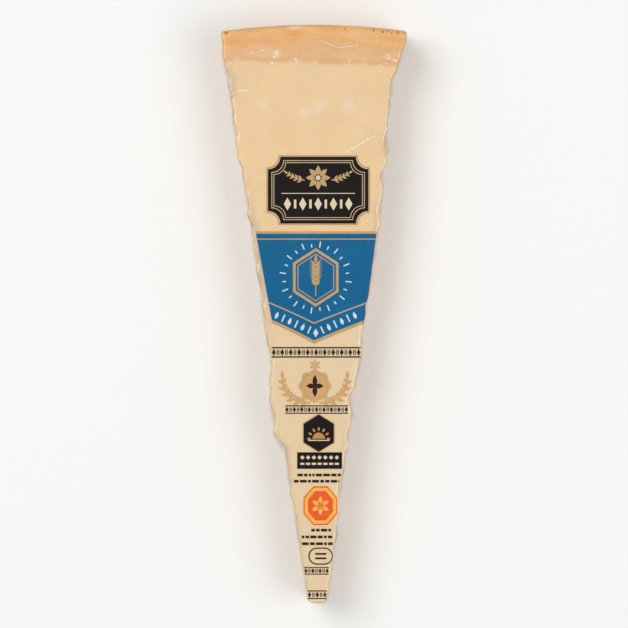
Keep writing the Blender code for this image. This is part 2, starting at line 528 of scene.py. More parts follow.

# The pale spots of the face, some of them painted glints and highlights where the film catches the light:
# along the rind's step, on the rind's top edge and beside the right edge. In millimetres: x, y, half the
# width, half the height and how pale
FACE_SPOTS_AND_GLINTS = (
    (-17.5, 71.2, 2.6, 1.5, 0.7),
    (-19.2, 75.3, 1.4, 1.2, 0.5),
    (-3.2, 68.1, 3.0, 2.6, 1.0),
    (1.9, 70.5, 2.2, 2.0, 0.9),
    (11.4, 70.5, 2.6, 3.1, 0.9),
    (16.8, 65.8, 1.8, 1.6, 0.7),
    (-3.2, 81.7, 1.8, 2.6, 0.4),
    (14.1, 61.4, 1.2, 1.0, 1.0),
    (-18.8, 46.1, 1.3, 1.5, 0.5),
    (-9.0, -38.5, 2.2, 2.6, 0.5),
    (13.6, -20.0, 2.2, 5.0, 0.6),
    (-12.6, 88.3, 1.7, 1.9, 0.8),
    (-14.4, 86.2, 1.1, 0.9, 0.7),
    (-6.3, 86.0, 1.1, 1.4, 0.8),
    (0.5, 85.6, 0.9, 0.6, 0.6),
    (12.6, 85.9, 0.8, 0.9, 0.6),
    (17.3, 85.6, 0.9, 1.2, 0.6),
    (25.0, 88.2, 1.3, 1.4, 0.6),
    (27.2, 86.6, 1.1, 1.2, 0.6),
    (22.9, 84.6, 1.6, 0.8, 0.6),
    (-26.4, 87.4, 1.3, 0.7, 0.5),
    (-29.5, 84.6, 0.9, 1.6, 0.6),
    (-6.5, 97.2, 3.2, 1.0, 0.8),
)
OTHER_SPOTS = 46

# Where the film is slack beside a long edge, with a painted shade greying the cheese under it, in
# millimetres: the side, the place along Y, half the length, how far it reaches from the edge, and how much
SLACK_AND_SHADE = (
    (LEFT, 79.0, 10.0, 3.6, 0.60),
    (LEFT, 18.0, 36.0, 3.4, 0.80),
    (LEFT, -46.0, 16.0, 2.4, 0.45),
    (LEFT, -78.0, 12.0, 1.8, 0.30),
    (RIGHT, 60.0, 24.0, 2.0, 0.30),
    (RIGHT, 32.0, 14.0, 3.0, 0.45),
    (RIGHT, -46.0, 14.0, 2.6, 0.40),
    (RIGHT, -76.0, 16.0, 2.2, 0.40),
)


def slackness_and_shade(points, normals):
    """How loose the film is at each point of the front, and how much painted shade greys the cheese there:
    fading from the long edges, and along them.
    """
    haze = np.zeros(len(points))
    for side, place, half, reach, full in SLACK_AND_SHADE:
        inward = flat_half(side, points[:, 1]) + EDGE_ROUND - side * points[:, 0]
        along = bump(points[:, 1] - place * MM, half * MM)
        haze = np.maximum(haze, full * along * (1.0 - smooth_step(0.4 * reach * MM, reach * MM, inward)))
    return haze * np.clip(2.0 * normals[:, 2], 0.0, 1.0)


def paleness_and_glints(points):
    """How pale each point is: the highest of soft round spots, the face's own, some of which are painted
    glints, and some drawn at random.
    """
    rng = np.random.default_rng(11)
    face = np.array(FACE_SPOTS_AND_GLINTS)
    middles = np.column_stack([face[:, :2], np.full(len(face), THICKNESS / MM)])
    drawn = rng.uniform((-34.0, -90.0, -2.0), (34.0, 84.0, 20.0), (OTHER_SPOTS, 3))
    middles = np.concatenate([middles, drawn]) * MM
    drawn = rng.uniform(1.2, 2.8, (OTHER_SPOTS, 1)).repeat(3, axis=1)
    sizes = np.concatenate([face[:, [2, 3, 3]], drawn]) * MM
    strength = np.concatenate([face[:, 4], rng.uniform(0.4, 1.0, OTHER_SPOTS)])
    pale = np.zeros(len(points))
    ragged = 0.45 * noise(points, 1.6 * MM, 9)
    for middle, size, full in zip(middles, sizes, strength):
        far = np.linalg.norm((points - middle) / size, axis=1) + ragged
        pale = np.maximum(pale, full * (1.0 - smooth_step(0.1, 1.4, far)))
    return pale


def cheese_finish():
    """Straw-coloured paste with pale spots and painted glints, painted shade beside the long edges, its
    craggy broken sides with painted shade in their deeper crags and crevices, and the hard rind in shades of
    tan.
    """
    cheese = Finish(
        "hard_cheese", Subsurface_Weight=0.15, Subsurface_Scale=1.5 * MM, Subsurface_Radius=(1.0, 0.6, 0.3)
    )
    depth, pale, broken, deep, crevice, slack_and_shade = (
        cheese.attribute(title) for title in ("rind_depth", "pale", "broken", "deep", "crevice", "slack_and_shade")
    )
    mottle = cheese.noise(11 * MM, 3.0)
    grain = cheese.noise(1.3 * MM, 3.0)
    crumb = cheese.noise(0.9 * MM, 4.0)
    wander = cheese.noise(7 * MM, 3.0) - 0.5
    streak = cheese.noise(2.4 * MM, 3.0, (0.25, 1.0, 1.0))
    scuff = cheese.noise(1.1 * MM, 4.0, (0.3, 1.0, 1.0))
    x, y, _ = cheese.coordinates()
    patches = mottle.rise(0.35, 0.65)
    # pale spots, with painted glints among them
    spots = (pale + grain * 0.3 - 0.15).rise(0.05, 0.9)
    crag = cheese.coats(
        CRAG_LIGHT,
        # painted shade: the deeper crags darker, the crevices between them darker still
        ((deep + crumb * 0.8 - 0.4).rise(0.1, 0.95), CRAG_PAINTED_SHADE),
        (crevice * (0.1 + 0.5 * patches) * crumb.rise(0.3, 0.6), CREVICE_PAINTED_SHADE),
        (cheese.specks(3.4 * MM, 0.13, 0.4) * 0.6, CRYSTAL),
    )
    paste = cheese.coats(
        PASTE,
        (patches * 0.6, PASTE_SHADE),
        (1.0 - (y + 20 * MM * wander).rise(-20 * MM, 30 * MM), PASTE_LOWER),
        (1.0 - y.rise(TIP_END + 0.5 * MM, TIP_END + 6 * MM), PASTE_TIP),
        (grain.rise(0.45, 0.75) * 0.4, PASTE_PALE),
        # painted shade beside the long edges, where the film is slack
        (slack_and_shade, PASTE_PAINTED_SHADE),
        # pale spots of the paste, some of them painted glints
        (spots * 0.9, SPOT_AND_GLINT),
        (broken * 0.9, crag),
    )
    outside = cheese.coats(
        RIND_OUTSIDE,
        (mottle.rise(0.35, 0.7) * 0.5, RIND_DARK),
        (scuff.rise(0.5, 0.72) * 0.4, RIND_PALE),
        ((1.0 - scuff).rise(0.52, 0.75) * 0.35, RIND_DARK),
    )
    slanted = depth - x * RIND_SLANT
    line = (slanted + wander * 2.0).rise(RIND_DEPTH / MM - 2.2, RIND_DEPTH / MM - 0.2)
    inward = (slanted + wander * 2.4).rise(RIND_DEPTH / MM - 1.0, RIND_DEPTH / MM + 0.8)
    rind = cheese.coats(
        RIND,
        ((depth + wander * 7.0).rise(4.0, 9.5), RIND_INNER),
        (streak.rise(0.45, 0.7) * 0.4, RIND_PALE),
        ((1.0 - streak).rise(0.5, 0.75) * 0.3, RIND_DARK),
        (crumb.rise(0.5, 0.75) * 0.35, RIND_PALE),
        (1.0 - (depth + wander).rise(0.3, 1.8), outside),
        (line * streak.rise(0.35, 0.6) * 0.32, RIND_LINE),
        # pale spots of the rind, some of them painted glints along its step
        (spots * 0.8, RIND_SPOT_AND_GLINT),
    )
    cheese.feed("Base Color", cheese.mix(inward, rind, paste))
    cheese.feed("Roughness", 0.62 - 0.14 * grain)
    smooth = (grain + mottle) * (0.04 * MM)
    rough = cheese.noise(2.0 * MM, 5.0) * (0.9 * MM) + crumb * (0.25 * MM)
    waxed = (1.0 - depth.rise(0.5, 3.0)) * (scuff * (0.10 * MM) + mottle * (0.20 * MM))
    cheese.relief(smooth + broken * rough + waxed)
    return cheese


def make_cheese(finish):
    """The cheese itself, a little inside the film."""
    points, normals, quads = wedge_shell(CHEESE_STEPS)
    (crag, crag_border), (chip, chip_border) = (crags(points, size, CRAG_SEED) for size, _ in (CRAG, CHIP))
    attributes = (
        ("rind_depth", (RIND_END - points[:, 1]) / MM),
        ("pale", paleness_and_glints(points)),
        ("broken", brokenness(points, normals)),
        ("deep", 0.6 * crag + 0.4 * chip),
        ("crevice", np.maximum(crag_border, 0.6 * chip_border)),
        ("slack_and_shade", slackness_and_shade(points, normals)),
    )
    placed = settled(points, normals, FILM_GAP + cheese_dip(points, normals))
    return link_piece("cheese", placed, quads.tolist(), finish, attributes)


def on_rind(flat, lift):
    """Wraps points over the rind's outer face, then round its edges and on over the broad faces.

    A point is (across as seen from outside, up from the middle height).
    """
    x, up = -flat[:, 0], flat[:, 1]
    straight = 0.5 * THICKNESS - EDGE_ROUND
    over = np.abs(up) - straight
    turn = np.clip(over / EDGE_ROUND, 0.0, 0.5 * np.pi)
    y = RIND_END - RIND_ROUND * (1.0 - np.cos(turn)) - np.maximum(over - 0.5 * np.pi * EDGE_ROUND, 0.0)
    z = 0.5 * THICKNESS + np.sign(up) * (np.minimum(np.abs(up), straight) + EDGE_ROUND * np.sin(turn))
    normals = np.stack([np.zeros_like(x), np.cos(turn), np.sign(up) * np.sin(turn)], axis=1)
    return settled(np.stack([x, y, z], axis=1), normals, FILM_GAP - lift)


def pin_finish():
    """Brown pricked marks, each more or less faint against the rind."""
    pin = Finish("pin_mark", Roughness=0.65)
    faint = pin.attribute("faint")
    pin.feed("Base Color", pin.mix((faint + pin.noise(0.5 * MM) * 0.5 - 0.25).clamped(), PIN_MARK, RIND_DARK))
    return pin


PIN_PITCH = 2.0 * MM
LOZENGE = 6  # pitches across each lozenge that the rows make

# Pricked marks on the upper rim of the rind: how far across, seen from the front in millimetres, its
# share of the largest mark and how faint
RIM_PINS = (
    (-29.8, 1.05, 0.45),
    (10.5, 0.60, 0.80),
    (20.2, 0.80, 0.65),
    (23.2, 0.85, 0.55),
    (24.9, 0.60, 0.70),
    (26.3, 0.65, 0.60),
    (28.5, 0.80, 0.55),
    (30.3, 0.50, 0.80),
)


def make_pin_marks(finish):
    """The pricked marks on the rind's outer face, in crossing slanted rows, and on its rim.

    Each is a low cup: rings about its middle, up over a thin rim and down into a bowl.
    """
    rng = np.random.default_rng(23)
    column, row = np.meshgrid(np.arange(-15, 16), np.arange(-5, 6), indexing="ij")
    crossing = ((column + row) % LOZENGE == 0) | ((column - row) % LOZENGE == 0)
    middles = np.stack([column[crossing], row[crossing]], axis=1) * PIN_PITCH
    middles += rng.uniform(-0.4, 0.4, middles.shape) * MM
    middles = middles[rng.random(len(middles)) < 0.85]
    sizes, faint = rng.uniform(0.5, 0.95, len(middles)), rng.uniform(0.0, 0.9, len(middles))
    across, rim_sizes, rim_faint = np.array(RIM_PINS).T
    rim = np.stack([-across * MM, 0.5 * THICKNESS + rng.uniform(0.2, 0.8, len(across)) * MM], axis=1)
    middles = np.concatenate([middles, rim])
    sizes, faint = np.concatenate([sizes, rim_sizes]), np.concatenate([faint, rim_faint])
    radii, lifts = np.array([0.62, 0.56, 0.40, 0.22]) * MM, np.array([-0.04, 0.035, 0.02, 0.01]) * MM
    ring = turned(round_about(PIN_SIDES), radii[:, None, None]).reshape(-1, 2)
    flat = np.concatenate([ring, np.zeros((2, 2))])
    lift = np.concatenate([np.repeat(lifts, PIN_SIDES), [0.008 * MM, -0.04 * MM]])
    placed = (middles[:, None] + flat * sizes[:, None, None]).reshape(-1, 2)
    points = on_rind(placed, np.tile(lift, len(middles)))
    faces = copied(ring_faces(len(radii), PIN_SIDES), len(flat), len(middles))
    attributes = (("faint", np.repeat(faint, len(flat))),)
    return link_piece("rind_pin_marks", points, faces, finish, attributes)


# The film


def crease_glint_finish():
    """Film that is creased, with a painted glint for its whitish look: partly clear, mostly glossy white."""
    crease = Finish("creased_film_glint", Base_Color=colour(255, 247, 228), Roughness=0.2)
    crease.thin(0.55 + 0.4 * crease.noise(0.8 * MM, 3.0).rise(0.3, 0.7))
    return crease


def film_finish():
    """Clear glossy film: a clear shader with a share of a mirror-like one.

    The mirror's share grows with the fifth power of the slant, as on any clear sheet, with streaks of
    haze and where the film hangs loose.
    """
    film = Finish("clear_film", Base_Color=colour(224, 220, 214), Metallic=1.0)
    slant = film.number("ShaderNodeLayerWeight", None, {"Blend": 0.5}, "Facing")
    streaks = film.noise(6 * MM, 4.0, (1.0, 0.35, 1.0))
    patches = film.noise(17 * MM, 2.0)
    haze = streaks.rise(0.5, 0.8) * patches.rise(0.35, 0.7)
    broken = film.attribute("broken")
    share = 0.04 + 0.05 * haze + film.attribute("slack_and_shade") * 0.12 * streaks + 0.05 * broken + slant**5.0
    film.thin(share.clamped())
    film.feed("Roughness", 0.12 + 0.25 * haze)
    wrinkles = film.noise(3.2 * MM, 2.0, (1.0, 0.6, 1.0)) * broken * (0.35 * MM)
    film.relief(film.noise(5 * MM, 2.0, (1.0, 0.5, 1.0)) * (0.06 * MM) + wrinkles)
    return film


def make_film(finish):
    """The clear film, drawn tight round the cheese and part of the way into its broken sides."""
    points, normals, quads = wedge_shell(FILM_STEPS)
    placed = settled(points, normals, film_dip(points, normals))
    attributes = (("slack_and_shade", slackness_and_shade(points, normals)), ("broken", brokenness(points, normals)))
    film = link_piece("clear_film", placed, quads.tolist(), finish, attributes)
    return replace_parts(film, "wrapped_wedge")


CREASE_HEIGHT, PUCKER_HEIGHT = 0.10, 0.14  # in millimetres

# Creases of the film, whitish with a painted glint, in millimetres: from (s, y), to (s, y), width and how
# far it sways. Past the long edges they run down the sides.
CREASES = (
    ((-26.6, 75.4), (-21.8, 75.9), 0.65, 0.0),
    ((8.6, 53.5), (22.8, 61.8), 0.62, 0.1),
    ((1.4, 92.7), (9.6, 90.2), 0.36, 0.2),
    ((7.6, 90.5), (15.6, 91.2), 0.36, -0.15),
    ((-19.0, 89.3), (-14.5, 90.2), 0.30, 0.2),
    ((-33.0, 88.0), (-44.0, 80.0), 0.50, 0.5),
    ((-34.0, 84.0), (-50.0, 66.0), 0.45, -0.7),
    ((-36.0, 91.0), (-47.0, 87.0), 0.40, 0.4),
    ((-52.0, 90.0), (-44.0, 76.0), 0.45, 0.6),
    ((-11.0, -44.5), (-17.0, -41.0), 0.55, 0.2),
    ((-12.5, -40.5), (-19.0, -36.5), 0.50, -0.2),
    ((-9.5, -47.0), (-14.5, -45.5), 0.45, 0.2),
    ((-23.0, 35.0), (-28.5, 33.0), 0.50, 0.3),
    ((-22.0, 31.0), (-26.0, 30.5), 0.45, 0.1),
    ((32.5, 87.0), (44.0, 78.0), 0.50, -0.5),
    ((34.0, 82.5), (46.0, 65.0), 0.45, 0.7),
    ((36.0, 91.5), (48.0, 88.0), 0.40, 0.4),
    ((50.0, 88.0), (43.0, 72.0), 0.45, -0.6),
    ((23.2, 45.5), (29.0, 42.0), 0.55, 0.3),
    ((24.0, 49.5), (29.5, 48.0), 0.50, -0.2),
    ((22.8, 42.0), (26.5, 40.5), 0.45, 0.1),
    ((12.3, -29.5), (17.5, -27.0), 0.55, 0.2),
    ((12.0, -26.5), (16.0, -25.5), 0.45, 0.1),
)

# Small puckers of the film along the rind's step, whitish with a painted glint: s, y, length and width
PUCKERS = (
    (-28.2, 85.6, 0.9, 0.6),
    (-24.0, 85.3, 0.8, 0.5),
    (-21.0, 88.9, 0.9, 0.6),
    (-14.2, 85.2, 1.5, 0.7),
    (-13.6, 87.2, 1.3, 0.9),
    (-12.6, 88.6, 1.5, 0.8),
    (-6.4, 86.4, 1.7, 0.7),
    (-6.0, 85.2, 1.0, 0.6),
    (0.3, 85.0, 0.9, 0.6),
    (12.0, 85.7, 0.8, 0.7),
    (16.6, 84.9, 1.2, 0.5),
    (17.0, 86.3, 0.8, 0.5),
    (22.6, 84.3, 1.4, 0.5),
    (24.4, 85.4, 1.2, 0.5),
    (25.4, 87.3, 1.2, 0.7),
    (27.8, 86.6, 1.0, 0.6),
)


def ridge(start, end, width, height, sway=0.0):
    """A thin ridge of film from start to end, (s, y): its flat points and its lifts.

    A low round profile is carried along a path that sways as one sine wave, and its width and height
    taper to the two ends as a half sine.
    """
    along = np.linspace(0.0, 1.0, RIDGE_STEPS + 2)[1:-1, None]
    start, end = np.array(start), np.array(end)
    across = (end - start)[::-1] * [-1.0, 1.0] / np.linalg.norm(end - start)
    path = start + (end - start) * along + across * sway * np.sin(2.0 * np.pi * along)
    angle = round_about(RIDGE_SIDES)
    taper = np.sin(np.pi * along)
    flat = path[:, None] + across * (0.5 * width * taper * np.cos(angle))[:, :, None]
    lift = height * taper * np.sin(angle)
    return np.concatenate([flat.reshape(-1, 2), [end, start]]), np.concatenate([lift.ravel(), [0.0, 0.0]])


def make_creases(finish):
    """The film's creases and puckers, as one piece, their whiteness a painted glint."""
    rng = np.random.default_rng(7)
    ridges = [ridge(start, end, width, CREASE_HEIGHT, sway) for start, end, width, sway in CREASES]
    for s, y, length, width in PUCKERS:
        middle, reach = np.array([s, y]), turned(rng.uniform(-0.6, 1.2), 0.5 * length)
        ridges.append(ridge(middle - reach, middle + reach, width, PUCKER_HEIGHT))
    flat, lift = (np.concatenate(parts) * MM for parts in zip(*ridges))
    faces = copied(ring_faces(RIDGE_STEPS, RIDGE_SIDES), len(ridges[0][1]), len(ridges))
    return link_piece("film_creases", on_film(flat, lift), faces, finish)


# The print

# The printed sheet's two sides in millimetres: how far across at y = 0, and how much further for
# each one of y
SHEET_LEFT = (-14.7, -0.182)
SHEET_RIGHT = (17.7, 0.134)


def refined(path, closed=False):
    """The path with points added along its straight stretches, a fine step apart."""
    path = np.array(path)
    onward = np.roll(path, -1, axis=0) if closed else path[1:]
    stretches = []
    for start, end in zip(path, onward):
        steps = max(1, math.ceil(np.linalg.norm(end - start) / FINE_STEP))
        stretches.append(start + (end - start) * np.arange(steps)[:, None] / steps)
    return np.concatenate(stretches if closed else [*stretches, path[-1:]])


class Ink:
    """The flat shapes that one ink prints, in millimetres, to be wrapped over the film as one piece."""

    def __init__(self, layer):
        self.layer, self.points, self.lifts, self.faces, self.count = layer, [], [], [], 0

    def add(self, points, faces):
        """Takes a shape's points and its faces, anticlockwise. Shapes that cross lie a hair apart."""
        self.lifts.append(np.full(len(points), len(self.points) % HAIRS * HAIR))
        self.points.append(points)
        self.faces += [[corner + self.count for corner in face] for face in faces]
        self.count += len(points)

    def fill(self, outline, wraps=False):
        """A shape whose outline is seen whole from its middle: rings of it that shrink to the middle.

        One ring does where the shape lies flat. One that wraps round an edge has close rings.
        """
        middle = outline.mean(axis=0)
        rings = 1
        if wraps:
            outline = refined(outline, closed=True)
            rings = math.ceil(np.linalg.norm(outline - middle, axis=1).max() / FINE_STEP)
        shares = 1.0 - np.arange(rings)[:, None, None] / rings
        points = (middle + (outline - middle) * shares).reshape(-1, 2)
        self.add(np.vstack([points, middle]), ring_faces(rings, len(outline), both=False))

    def line(self, path, width, closed=False):
        """A line of even width: each point of the path goes half the width to both sides, along its mitre."""
        path = refined(path, closed)
        ahead, back = np.roll(path, -1, axis=0) - path, path - np.roll(path, 1, axis=0)
        if not closed:
            ahead[-1], back[0] = back[-1], ahead[0]
        ahead /= np.linalg.norm(ahead, axis=1, keepdims=True)
        back /= np.linalg.norm(back, axis=1, keepdims=True)
        mitre = ahead + back
        mitre *= 2.0 / (mitre**2).sum(axis=1, keepdims=True)
        aside = 0.5 * width * mitre[:, ::-1] * [-1.0, 1.0]
        self.strip(path - aside, path + aside, closed)

    def strip(self, right, left, closed=False):
        """Quads between two paths, seen along which the first lies on the right."""
        count = len(right)
        here = np.arange(count if closed else count - 1)
        there = (here + 1) % count
        quads = np.stack([here, there, there + count, here + count], axis=1)
        self.add(np.concatenate([right, left]), quads.tolist())

    def make(self, name, finish):
        """The piece: every shape wrapped over the film, with a thin wall below it."""
        flat, hair = np.concatenate(self.points) * MM, np.concatenate(self.lifts) * MM
        placed = on_film(flat, INK_LIFT + self.layer * INK_LAYER + hair)
        piece = link_piece(name, placed, self.faces, finish)
        piece.data.shade_flat()
        wall = piece.modifiers.new("ink thickness", "SOLIDIFY")
        wall.thickness, wall.offset = INK_THICKNESS, -1.0
        return piece


def ellipse(x, y, half_width, half_height, count, first=0.0):
    """An outline with corners at equal steps round an ellipse, anticlockwise from the first angle."""
    return (x, y) + turned(first + round_about(count)) * (half_width, half_height)


def bar(start, end, width):
    """The outline of a straight bar."""
    start, end = np.array([start, end])
    along = (end - start) / np.linalg.norm(end - start)
    aside = 0.5 * width * along[::-1] * [-1.0, 1.0]
    return np.stack([start - aside, end - aside, end + aside, start + aside])


def leaf(foot, tip, width):
    """The outline of a leaf, as wide as half a sine wave, fullest a little nearer its foot."""
    share = np.linspace(0.0, 1.0, 8)[:, None]
    along = np.subtract(tip, foot)
    across = along[::-1] * [-1.0, 1.0] / np.linalg.norm(along)
    bulge = 0.5 * width * np.sin(np.pi * share**0.8) * across
    spine = foot + along * share
    return np.concatenate([spine - bulge, (spine + bulge)[-2:0:-1]])


def scooped(x, y, width, height, scoop):
    """The outline of a rectangle whose four corners are cut away by quarter circles."""
    corners = []
    for quarter, (right, up) in enumerate(((1, 1), (-1, 1), (-1, -1), (1, -1))):
        angle = np.linspace(1.5 * np.pi, np.pi, 9) + 0.5 * np.pi * quarter
        corners.append((x + 0.5 * width * right, y + 0.5 * height * up) + turned(angle, scoop))
    return np.concatenate(corners)


def sprig(leaf_ink, stem_ink, foot, heading, length, bend, pairs, size):
    """A stem along an arc that turns by the bend, with pairs of leaves and one at its end."""
    share = np.linspace(0.0, 1.0, 12)
    angle = heading + bend * share
    steps = turned(angle, length / 11)
    stem = np.array(foot) + np.cumsum(steps, axis=0) - steps[0]
    stem_ink.line(stem, 0.22 * size)
    for number in range(pairs):
        place = (number + 0.7) / (pairs + 0.4)
        start = np.array([np.interp(place, share, stem[:, axis]) for axis in (0, 1)])
        reach = size * (1.0 - 0.35 * place)
        for side in (-1, 1):
            tip = start + turned(heading + bend * place + 0.75 * side, reach)
            leaf_ink.fill(leaf(start, tip, 0.42 * reach))
    leaf_ink.fill(leaf(stem[-1], stem[-1] + turned(heading + bend, 0.9 * size), 0.36 * size))


def rosette(petal_ink, middle_ink, x, y, radius, petals):
    """Leaves set round a dot."""
    for angle in round_about(petals) + 0.5 * np.pi:
        foot, tip = ((x, y) + turned(angle, reach) for reach in (0.22 * radius, radius))
        petal_ink.fill(leaf(foot, tip, 0.42 * radius))
    middle_ink.fill(ellipse(x, y, 0.2 * radius, 0.2 * radius, 10))


def wheat_ear(ink, x, low, high, size):
    """An ear of wheat: a stem, pairs of grains up it, each with its awn, and one grain on top."""
    ink.line(np.stack([np.full(6, x), np.linspace(low, high, 6)], axis=1), 0.32)
    rows = np.arange(low + 0.36 * (high - low), high, 0.62 * size)
    for y in rows:
        for side in (-1, 1):
            way = 0.5 * np.pi - 0.52 * side
            foot = np.array([x + 0.12 * side, y])
            tip = foot + turned(way, size)
            ink.fill(leaf(foot, tip, 0.42 * size))
            ink.fill(bar(tip, tip + turned(way + 0.16 * side, 0.75 * size), 0.14))
    ink.fill(leaf((x, rows[-1] + 0.5 * size), (x, rows[-1] + 1.7 * size), 0.42 * size))


def ornament_row(ink, y, height, start, end, count):
    """A border strip: lozenges with a pair of upright bars between them, under and over a thin rule."""
    pitch = (end - start) / count
    for number in range(count):
        x = start + (number + 0.5) * pitch
        if number % 2 == 0:
            ink.fill(ellipse(x, y, 0.46 * pitch, 0.36 * height, 4))
        else:
            for aside in (x - 0.2 * pitch, x + 0.2 * pitch):
                ink.fill(bar((aside, y - 0.26 * height), (aside, y + 0.26 * height), 0.2 * pitch))
    for rule in (y - 0.46 * height, y + 0.46 * height):
        ink.line([(start, rule), (end, rule)], 0.13 * height)


# The border strips in millimetres: y, height, start, end and how many lozenges and pairs of bars
STRIPS = (
    (-13.0, 3.4, -14.4, 15.9, 21),
    (-32.4, 2.7, -9.8, 11.6, 17),
    (-87.1, 2.4, -3.4, 5.1, 7),
    (-95.2, 2.8, -2.2, 4.4, 5),
)

# The rows of fine dashes: y, start and end
FINE_ROWS = (
    (-54.6, -5.6, 9.2),
    (-56.7, -6.8, 8.6),
    (-73.3, -0.9, 6.2),
    (-75.6, -4.1, 6.8),
    (-77.9, -4.1, 6.4),
)


def fine_row(ink, y, height, start, end, seed):
    """A row of short level dashes of uneven lengths, as fine print looks from afar."""
    rng = np.random.default_rng(seed)
    x = start
    while x < end:
        length = min(rng.uniform(0.7, 2.4), end - x)
        if length > 0.3:
            ink.line([(x, y), (x + length, y)], height)
        x += length + 0.45


# The blue banner: the heights of its top, of its lower edge at the sides and of its point
BLUE_TOP, BLUE_SIDE, BLUE_POINT = 28.0, -3.0, -10.0


def banner_edge(y_middle, y_side, count=121):
    """A path right across the printed sheet, level or as a broad V between two heights."""
    u = np.linspace(-1.0, 1.0, count)
    y = y_middle + (y_side - y_middle) * np.abs(u)
    left, right = SHEET_LEFT[0] + SHEET_LEFT[1] * y, SHEET_RIGHT[0] + SHEET_RIGHT[1] * y
    return np.stack([np.where(u < 0.0, -u * left, u * right), y], axis=1)


def print_banner(inks):
    """The blue field, right across the printed sheet, with its keylines and its band of dashes."""
    rows = [banner_edge(*ends) for ends in np.linspace((BLUE_POINT, BLUE_SIDE), (BLUE_TOP, BLUE_TOP), 50)]
    for low, high in zip(rows, rows[1:]):
        inks["blue"].strip(low, high)
    for lift, width in ((0.5, 1.0), (6.9, 0.45)):
        inks["gold"].line(banner_edge(BLUE_POINT + lift, BLUE_SIDE + lift), width)
    for drop, width in ((0.4, 0.8), (2.6, 0.35)):
        inks["gold"].line(banner_edge(BLUE_TOP - drop, BLUE_TOP - drop), width)
    slope = math.atan2(BLUE_SIDE - BLUE_POINT, 15.5)
    middle = np.array([0.6, BLUE_POINT + 3.6])
    for side in (-1, 1):
        for number in range(1, 7):
            at = middle + 2.2 * number * np.array([side, math.tan(slope)])
            up = turned(side * slope + 0.5 * np.pi, 1.3)
            shape = bar(at - up, at + up, 0.5) if number % 2 else leaf(at - up, at + up, 1.15)
            inks["white"].fill(shape)
    inks["white"].fill(ellipse(*middle, 0.9, 1.5, 4))


def print_ear(inks):
    """The gold hexagon on the blue field, with an ear of wheat in it and white rays round it."""
    x, y = 0.6, 12.4
    inks["gold"].line(ellipse(x, y, 8.4, 9.4, 6, 0.5 * np.pi), 0.9, closed=True)
    inks["gold"].line(ellipse(x, y, 7.0, 7.9, 6, 0.5 * np.pi), 0.3, closed=True)
    wheat_ear(inks["gold"], x, y - 6.4, y + 4.0, 2.5)
    for number, angle in enumerate(round_about(24) + np.pi / 24):
        inner, outer = (10.2, 12.3) if number % 2 else (10.2, 11.4)
        inks["white"].fill(bar((x, y) + turned(angle, inner), (x, y) + turned(angle, outer), 0.42))


def print_plaque(inks):
    """The dark plaque at the top of the print, with keylines, a rosette, two sprigs and a row of pearls."""
    x, y = 1.4, 42.0
    inks["black"].fill(scooped(x, y, 34.0, 22.6, 4.2))
    inks["gold"].line(scooped(x, y, 34.6, 23.2, 4.1), 0.4, closed=True)
    inks["gold"].line(scooped(x, y, 31.4, 20.0, 4.0), 0.32, closed=True)
    inks["cream"].line(scooped(x, y, 30.0, 18.6, 4.0), 0.18, closed=True)
    rosette(inks["gold"], inks["cream"], x, y + 4.2, 4.2, 8)
    for side, heading in ((-1, np.pi - 0.1), (1, 0.1)):
        sprig(inks["gold"], inks["gold"], (x + 4.6 * side, y + 3.4), heading, 6.2, 0.5 * side, 4, 2.0)
    inks["cream"].line([(x - 12.5, y - 1.1), (x + 12.5, y - 1.1)], 0.25)
    for number in range(-4, 5):
        at = np.array([x + 2.6 * number, y - 4.7])
        if number % 2:
            inks["cream"].fill(bar(at - [0.0, 1.5], at + [0.0, 1.5], 0.8))
        else:
            inks["cream"].fill(ellipse(*at, 1.25, 2.2, 4))


def print_wreath(inks):
    """The open tan wreath of two sprigs below the banner, round a badge with four dark leaves."""
    x, y = 0.3, -24.4
    for side, heading in ((-1, 1.08 * np.pi), (1, -0.08 * np.pi)):
        sprig(inks["tan"], inks["tan"], (x + 1.6 * side, -30.0), heading, 14.0, side * 1.75, 6, 3.2)
    angle = round_about(64)
    badge = turned(angle) * (5.2, 5.4) * (1.0 + 0.07 * np.cos(8.0 * angle))[:, None]
    inks["tan"].fill((x, y) + badge)
    inks["gold"].line((x, y) + 0.82 * badge, 0.3, closed=True)
    rosette(inks["tan"], inks["tan"], x, -17.3, 2.0, 6)
    for angle in round_about(4):
        reach = 3.8 if angle % np.pi else 3.0
        inks["brown"].fill(leaf((x, y), (x, y) + turned(angle, reach), 1.7))


def print_sun(inks):
    """The dark upright hexagon with a half sun, and the dark bar of lozenges and dashes under it."""
    x, y = 1.6, -40.4
    inks["black"].fill(ellipse(x, y, 5.9, 6.3, 6, 0.5 * np.pi))
    inks["tan"].line(ellipse(x, y, 6.1, 6.5, 6, 0.5 * np.pi), 0.25, closed=True)
    base = np.array([x, y - 1.9])
    inks["amber"].fill(base + turned(np.linspace(0.0, np.pi, 15), 2.1))
    for angle in np.pi * np.arange(7) / 6:
        inks["amber"].fill(leaf(base + turned(angle, 2.6), base + turned(angle, 4.1), 0.75))
    inks["cream"].fill(bar(base + [-3.6, -0.55], base + [3.6, -0.55], 0.35))
    x, y = 1.9, -49.7
    inks["black"].fill(bar((x - 7.6, y), (x + 7.6, y), 5.6), wraps=True)
    for number in range(-3, 4):
        inks["cream"].fill(ellipse(x + 1.95 * number, y + 1.05, 0.75, 0.75, 4))
        inks["cream"].fill(bar((x + 1.95 * number - 0.7, y - 1.1), (x + 1.95 * number + 0.7, y - 1.1), 0.7))


